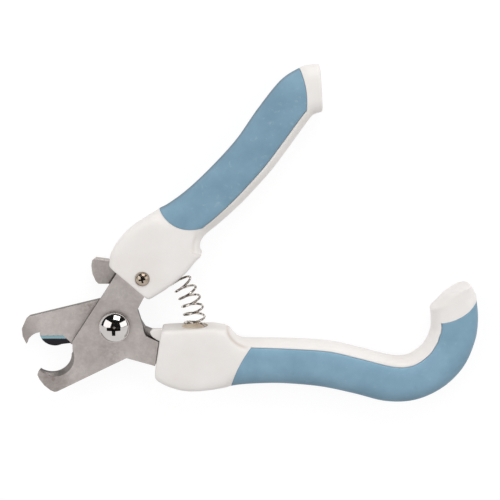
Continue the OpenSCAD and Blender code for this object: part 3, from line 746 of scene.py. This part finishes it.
bladeLevels = {"rear": 3.8, "front": 6.05, "thick": 2.2}
tangSlot = {"wide": 7.4, "long": 24.0, "fit": 0.05, "start": -6, "upper": ((6, 13), 54),
            "lower": ((13, -9.4), -2)}  # places as (point, turn)
springShape = {"reach": 26.2, "across": 7.4, "wire": 0.75, "turns": 6.25, "phase": 278.0,
               "lowerFace": -0.3, "upperFace": 37.5, "blendPast": 2, "perTurn": 30, "sides": 14,
               "seatGap": 0.05, "pocketDeep": 1.5, "pocketRadius": 4.25,
               "pocketRound": ((0.5, 0.0), (0.15, 0.15), (0.0, 0.5))}  # in from the wall, off the floor
smallScrew = {"radius": 1.2, "head": 2.25, "high": 1.6, "long": 8.5, "room": 0.2, "roomHigh": 3.0,
              "threadFit": 0.03, "upper": ((9.6, 16.8, 11.8), 1), "lower": ((21.0, -9.7, 2.2), -1),
              "rim": 0.33, "rimEdge": 0.8, "headRound": 0.1, "point": 0.2,
              "taper": ((0.8, 1.2), (1.0, 1.8)), "threadFrom": 2.0, "threadTo": 2.0, "neck": 1.6,
              "pitch": 0.45, "root": 0.86,
              "recess": (0.56, 0.27, 0.62)}  # places as (point, side), taper as (share of radius, up)


def slotCutter(place, level):
    at, turn = place
    spare = tangSlot["fit"]
    start, end, wide = tangSlot["start"], tangSlot["long"] + spare, tangSlot["wide"] / 2 + spare
    outline = [(start, -wide), (end, -wide), (end, wide), (start, wide)]
    made = prism("slot", outline, level - spare, level + bladeLevels["thick"] + spare)
    made.data.transform(moved(*at) @ turned(turn, "Z"))
    return paint(made, warmShadePlastic)


def pocketCutter(turn, side):
    deep, radius, half = springShape["pocketDeep"], springShape["pocketRadius"], handleShape["thick"] / 2
    profile = [(0, deep)] + [(radius - inward, deep - up) for inward, up in springShape["pocketRound"]]
    made = lathe("pocket", profile + [(radius, -half), (0, -half)])
    place = turned(turn, "Z") @ moved(springShape["reach"], 0, half)
    made.data.transform(place @ turned(-90 * side, "X"))
    return paint(made, warmShadePlastic)


def screwPlace(place):
    at, side = place
    return moved(*at) @ turned(0 if side > 0 else 180, "X")


def screwCutter(place, finish):  # room for a screw's head, and a hole for its thread
    s = smallScrew
    head, thread = s["head"] + s["room"], s["radius"] + s["threadFit"]
    profile = [(0, -s["long"]), (thread, -s["long"]), (thread, 0), (head, 0), (head, s["roomHigh"]),
               (0, s["roomHigh"])]
    made = lathe("screwRoom", profile, sides=64)
    made.data.transform(screwPlace(place))
    return paint(made, finish)


upperWhite = whitePlastic("white_plastic_upper", upperHandle["crease"])
lowerWhite = whitePlastic("white_plastic_lower", lowerHandle["crease"])
upperCore = paint(coreLoft("upper_core", upperHandle), upperWhite)
carve(upperCore, [slotCutter(tangSlot["upper"], bladeLevels["front"]),
                  screwCutter(smallScrew["upper"], upperWhite),
                  pocketCutter(springShape["upperFace"], 1)])
fit(smooth(upperCore), "upper_half", "upper_handle_core")

lowerCore = paint(coreLoft("lower_core", lowerHandle), lowerWhite)
lipTop = bladeLevels["front"] + bladeLevels["thick"]
stopLip = paint(prism("stopLip", lowerHandle["lip"], bladeLevels["front"], lipTop), lowerWhite)
soften(stopLip, lowerHandle["lipRound"], angle=25, segments=4, even=False)
carve(lowerCore, [stopLip], "UNION")
carve(lowerCore, [slotCutter(tangSlot["lower"], bladeLevels["rear"]),
                  screwCutter(smallScrew["lower"], lowerWhite),
                  pocketCutter(springShape["lowerFace"], -1)])
fit(smooth(lowerCore), "lower_half", "lower_handle_core")
print("cores made", len(upperCore.data.polygons), len(lowerCore.data.polygons))

upperGrip = paint(gripLoft("upper_grip", upperHandle), upperBlue)
fit(smooth(upperGrip, angle=50), "upper_half", "upper_handle_grip")
lowerGrip = paint(gripLoft("lower_grip", lowerHandle), lowerBlue)
fit(smooth(lowerGrip, angle=50), "lower_half", "lower_handle_grip")
print("grips made", len(upperGrip.data.polygons), len(lowerGrip.data.polygons))


plateShape = {"bladeRound": 0.16, "guardRound": 0.2, "sides": (-0.3, 0.3), "ground": (0.3, 0.97),
              "notch": {"x": (-26, -12), "y": (-18, -4), "z": (6, 9)},
              "grind": {"x": (-25.2, -14), "y": (-8, -3), "z": (3, 6.1)},
              "bend": {"start": (-1.9, 21.4), "end": (-6.4, 22), "level": 3.75, "radius": 0.8,
                       "near": 0.01}}


def bendEdge(made, bend):  # a round along the front edge between two corners
    ends = [Vector(times((*bend[key], bend["level"]), mm)) for key in ("start", "end")]
    near = bend["near"] * mm

    def change(work):
        picked = [e for e in work.edges
                  if all(min((v.co - p).length for p in ends) < near for v in e.verts)]
        bmesh.ops.bevel(work, geom=picked, offset=bend["radius"] * mm, segments=6, profile=0.5,
                        affect="EDGES")
        print("bend", len(picked), "edges")
    return reworked(made, change)


frontBlade = paint(nodeCopy("front_blade", "blade_front"), steel["blade_steel_front"])
# painted shade: the side faces and the ground notch take darker steels
markFaces(frontBlade, steel["shade_steel"], plateShape["sides"])
markFaces(frontBlade, steel["notch_steel_painted_shade"], plateShape["ground"], **plateShape["notch"])
fit(soften(frontBlade, plateShape["bladeRound"]), "upper_half", "front_blade")
rearBlade = paint(nodeCopy("rear_blade", "blade_rear"), steel["blade_steel_rear"])
# painted shade: the side faces take the dark side steel
markFaces(rearBlade, steel["side_steel_painted_shade"], plateShape["sides"])
markFaces(rearBlade, grindSteel("grind_steel_painted_reflection"), plateShape["ground"], **plateShape["grind"])
fit(soften(rearBlade, plateShape["bladeRound"]), "lower_half", "rear_blade")
nailGuard = paint(nodeCopy("nail_guard", "guard_plate"), steel["guard_steel"])
bendEdge(nailGuard, plateShape["bend"])
fit(soften(nailGuard, plateShape["guardRound"]), "guard", "nail_guard")
print("plates made")


pivotShape = {"thread": 2.5, "shoulder": 3.0, "nutTop": 2.2, "seat": 8.85, "rim": 0.9, "radius": 5.05,
              "domeRadius": 4.7, "dome": 2.0, "recess": (2.45, 1.2, 2.1), "threadEnd": (0.35, 0.3),
              "rimFoot": 0.12, "rimRound": ((0.0, 0.3), (0.05, 0.13), (0.18, 0.03), (0.32, 0.0)),
              "groove": 0.06, "ringTilt": (0.4, 1.01), "ringLevels": (-0.3, 0.01),
              "sideTilt": (-1.01, 0.4), "sideBelow": 0.1}  # rimRound: in from the edge, down
crossShape = {"over": 1.0, "levels": ((0.0, 1.0), (0.75, 0.66), (1.0, 0.2))}  # share of the depth, size


def domeProfile(radius, low, high, count):  # from the rim up to the axis
    ball = (radius ** 2 + high ** 2) / (2 * high)
    top = math.asin(radius / ball)
    turn = np.linspace(top, 0, count)
    return [(ball * math.sin(a), low + high - ball + ball * math.cos(a)) for a in turn]


def crossCutter(top, reach, arm, deep, turn=0.0):  # tapered wings that meet in a point
    quarter = np.array([(reach, arm / 2), (arm / 2, arm / 2), (arm / 2, reach)])
    ring = []
    for k in range(4):
        a = math.radians(90 * k)
        spin = np.array([[math.cos(a), -math.sin(a)], [math.sin(a), math.cos(a)]])
        ring += [spin @ p for p in quarter]
    ring = np.array(ring)
    levels = [(top + crossShape["over"], 1.0)]
    levels += [(top - deep * share, size) for share, size in crossShape["levels"]]
    made = skin("cross", [np.c_[ring * size, np.full(len(ring), z)] for z, size in levels])
    made.data.transform(turned(turn, "Z"))
    return paint(made, recess)


def makePivot():
    p = pivotShape
    seat, rimTop = p["seat"], p["seat"] + p["rim"]
    inward, up = p["threadEnd"]
    profile = [(0, 0), (p["thread"] - inward, 0), (p["thread"], up), (p["thread"], p["nutTop"]),
               (p["shoulder"], p["nutTop"]), (p["shoulder"], seat), (p["radius"] - p["rimFoot"], seat),
               (p["radius"], seat + p["rimFoot"])]
    profile += [(p["radius"] - inward, rimTop - down) for inward, down in p["rimRound"]]
    profile += [(p["domeRadius"] + p["groove"], rimTop)]
    profile += domeProfile(p["domeRadius"], rimTop, p["dome"], count=24)
    made = paint(lathe("pivot_screw_head", profile, sides=128), chrome)
    carve(made, [crossCutter(rimTop + p["dome"], *p["recess"])])
    low, high = p["ringLevels"]
    markFaces(made, steel["ring_steel"], p["ringTilt"], z=(rimTop + low, rimTop + high))
    # painted shade: the rim's side walls take the dark side steel
    markFaces(made, steel["side_steel_painted_shade"], p["sideTilt"], z=(seat - p["sideBelow"], rimTop))
    return smooth(made, angle=32)


fit(makePivot(), "upper_half", "pivot_screw")

washerShape = {"toothRound": 0.06, "spring": [(3.03, 2.2), (4.7, 2.2), (4.8, 2.28), (4.8, 2.5),
                                              (4.7, 2.6), (3.03, 2.6)]}
toothWasher = paint(nodeCopy("tooth_washer", "washer_toothed"), steel["washer_steel"])
soften(toothWasher, washerShape["toothRound"], segments=2)
fit(toothWasher, "upper_half", "tooth_washer")
springWasher = paint(lathe("washer_spring", washerShape["spring"]), steel["washer_steel"])
fit(smooth(springWasher, angle=30), "upper_half", "spring_washer")

nutShape = {"flats": 9.0, "high": 2.2, "bore": 2.53, "faceIn": 0.1, "slopeOut": 0.4, "slope": 30,
            "flare": 1.4, "flareDeep": 0.4, "past": 1}


def makeNut():
    n = nutShape
    high, bore, past = n["high"], n["bore"], n["past"]
    reach = n["flats"] / 2 / math.cos(math.pi / 6)
    corners = [math.radians(60 * k) for k in range(6)]
    outline = [(reach * math.cos(a), reach * math.sin(a)) for a in corners]
    made = paint(prism("nut_pivot", outline, 0, high), steel["nut_steel"])
    flat, slope = n["flats"] / 2 - n["faceIn"], reach + n["slopeOut"]
    fall = (slope - flat) * math.tan(math.radians(n["slope"]))
    blank = [(0, 0), (flat, 0), (slope, fall), (slope, high - fall), (flat, high), (0, high)]
    carve(made, [paint(lathe("blank", blank), steel["nut_steel"])], "INTERSECT")
    wide, deep = bore + n["flare"], n["flareDeep"]
    hole = [(0, -past), (wide, -past), (bore, deep), (bore, high - deep), (wide, high + past),
            (0, high + past)]
    carve(made, [paint(lathe("bore", hole), steel["nut_steel"])])
    return smooth(joinClose(made), angle=25)


fit(makeNut(), "upper_half", "pivot_nut")
print("pivot made")


def makeSmallScrew(name, place, turn):
    s = smallScrew
    rim = s["high"] * s["rim"]
    profile = [(0, -s["long"]), (s["point"], -s["long"])]
    profile += [(s["radius"] * share, -s["long"] + up) for share, up in s["taper"]]
    z = -s["long"] + s["threadFrom"]
    while z < -s["threadTo"]:  # turns of the thread, as rings
        profile += [(s["radius"], z), (s["radius"] * s["root"], z + s["pitch"] * 0.5)]
        z += s["pitch"]
    profile += [(s["radius"], -s["neck"]), (s["radius"], 0), (s["head"] - s["headRound"], 0),
                (s["head"], s["headRound"]), (s["head"], rim * s["rimEdge"])]
    profile += domeProfile(s["head"], rim, s["high"] - rim, count=16)[1:]
    made = paint(lathe(name, profile, sides=80), nickel)
    reach, arm, deep = s["recess"]
    carve(made, [crossCutter(s["high"], s["head"] * reach, s["head"] * arm, s["high"] * deep, turn)])
    smooth(made, angle=32)
    made.data.transform(screwPlace(place))
    return made


upperScrew = makeSmallScrew("screw_upper", smallScrew["upper"], turn=12)
fit(upperScrew, "upper_half", "upper_tang_screw")
lowerScrew = makeSmallScrew("screw_lower", smallScrew["lower"], turn=30)
fit(lowerScrew, "lower_half", "lower_tang_screw")
print("screws made")


def makeSpring():
    s = springShape
    coil = (s["across"] - s["wire"]) / 2
    pocket = math.degrees(s["pocketDeep"] / s["reach"])
    start, end = s["lowerFace"] - pocket, s["upperFace"] + pocket
    lift = math.degrees((s["wire"] / 2 + s["seatGap"]) / s["reach"])
    half = handleShape["thick"] / 2

    def axisPoint(turn, off=0.0, up=0.0):
        a = math.radians(turn)
        return np.array([(s["reach"] + off) * math.cos(a), (s["reach"] + off) * math.sin(a), half + up])

    def coilPoint(turn, around):
        a = math.radians(around)
        return axisPoint(turn, coil * math.cos(a), -coil * math.sin(a))

    count = int(round(s["turns"] * s["perTurn"]))
    pitch = (end - start - 2 * lift) / count
    path = np.array([coilPoint(start + lift + pitch * k, s["phase"] + 360 * k / s["perTurn"])
                     for k in range(count + 1)])
    turn = np.linspace(0, 2 * math.pi, s["sides"], endpoint=False)[:, None]
    rings = []
    for k, point in enumerate(path):
        along = path[min(k + 1, count)] - path[max(k - 1, 0)]
        along /= np.linalg.norm(along)
        out = point - axisPoint(math.degrees(math.atan2(point[1], point[0])))
        side = np.cross(along, out)
        side /= np.linalg.norm(side)
        out = np.cross(side, along)
        rings.append(point + s["wire"] / 2 * (np.cos(turn) * out + np.sin(turn) * side))
    made = smooth(paint(skin("spring_coil", rings), wire), angle=50)
    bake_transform(made)
    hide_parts("return_spring")


makeSpring()
print("spring made")


white = (1, 1, 1)
floorLook = {"level": -0.0004, "size": 6.0, "tones": ((0.86, 0.86, 0.86), (0.9, 0.9, 0.9)), "cloud": 300,
             "shown": 0.85, "glow": 1.05}


def makeFloor():
    half, z = floorLook["size"] / 2, floorLook["level"]
    corners = [(-half, -half, z), (half, -half, z), (half, half, z), (-half, half, z)]
    f = Finish("pale_floor")
    base = f.mix(f.noise(f.place(), floorLook["cloud"]), *floorLook["tones"])
    plain = f.add("ShaderNodeBsdfDiffuse", None, {"Color": base})
    lit = f.add("ShaderNodeEmission", None, {"Color": white, "Strength": floorLook["glow"]})
    shown = f.shownRays() * floorLook["shown"]
    finish = f.close(f.add("ShaderNodeMixShader", None, {0: shown, 1: plain, 2: lit}))
    paint(newObject("floor", corners, [(0, 1, 2, 3)]), finish)


worldLook = {"low": 0.54, "shown": 1.0}  # light on the object, and what the camera sees


def makeWorld():
    world = bpy.data.worlds.new("studio")
    sceneNow.world = world
    f = Finish("studio", world)
    level = worldLook["low"] + f.shownRays() * (worldLook["shown"] - worldLook["low"])
    back = f.add("ShaderNodeBackground", None, {"Color": white, "Strength": level})
    f.add("ShaderNodeOutputWorld", None, {"Surface": back})


lampSet = {"aim": (0.04, 0.01, 0.0), "far": 1.0,
           "boxes": {"left_box": {"toward": (-0.69, 0.2, 0.7), "size": (0.65, 0.78), "power": 2.7},
                     "top_box": {"toward": (0.168, 0.795, 0.58), "size": (0.6, 0.45), "power": 3.3},
                     "right_box": {"toward": (0.79, 0.19, 0.58), "size": (0.5, 0.8), "power": 2.2}}}


def makeLamp(name, toward, size, power):
    lamp = bpy.data.lights.new(name, "AREA")
    lamp.shape = "RECTANGLE"
    lamp.size, lamp.size_y = size
    lamp.energy = power
    made = bpy.data.objects.new(name, lamp)
    aim = Vector(lampSet["aim"])
    made.location = aim + Vector(toward).normalized() * lampSet["far"]
    made.rotation_euler = (made.location - aim).to_track_quat("Z", "Y").to_euler()
    sceneNow.collection.objects.link(made)


flagShape = {"far": 1.6, "wide": 24, "tall": 12, "low": 6, "lean": 8, "flagGrain": 200,
             "tones": ((0.02, 0.02, 0.021), (0.035, 0.034, 0.033))}


def makeFlag():  # painted reflection: a dark sheet above and behind, which only shiny metal sees
    far, wide, tall, low = (flagShape[key] for key in ("far", "wide", "tall", "low"))
    points, faces = [], []
    for j in range(tall + 1):
        up = math.radians(low + (90 - low) * j / tall)
        for k in range(wide + 1):
            a = math.radians(180 * k / wide)
            flat = far * math.cos(up)
            points.append((flat * math.cos(a), flat * math.sin(a), far * math.sin(up)))
    for j in range(tall):
        for k in range(wide):
            a = j * (wide + 1) + k
            faces.append((a, a + 1, a + wide + 2, a + wide + 1))
    made = newObject("flag", points, faces)
    made.data.transform(turned(flagShape["lean"], "X"))
    f = Finish("dark_flag_painted_reflection")
    base = f.mix(f.noise(f.place(), flagShape["flagGrain"]), *flagShape["tones"])
    paint(made, f.close(f.add("ShaderNodeBsdfDiffuse", None, {"Color": base})))
    made.visible_camera = False
    made.visible_diffuse = False
    made.visible_shadow = False
    made.visible_transmission = False


cameraView = {"at": (0.044286, 0.111021, 0.447732), "tilt": -11, "lens": 99.7, "sensor": 36.0,
              "clip": (0.01, 20.0)}


def makeCamera():
    lens = bpy.data.cameras.new("camera")
    lens.sensor_fit = "HORIZONTAL"
    lens.sensor_width = lens.sensor_height = cameraView["sensor"]
    lens.lens = cameraView["lens"]
    lens.clip_start, lens.clip_end = cameraView["clip"]
    made = bpy.data.objects.new("camera", lens)
    made.location = cameraView["at"]
    made.rotation_euler = (math.radians(cameraView["tilt"]), 0, 0)
    sceneNow.collection.objects.link(made)
    sceneNow.camera = made


makeFloor()
makeWorld()
for name, settings in lampSet["boxes"].items():
    makeLamp(name, **settings)
makeFlag()
makeCamera()
print("studio made")
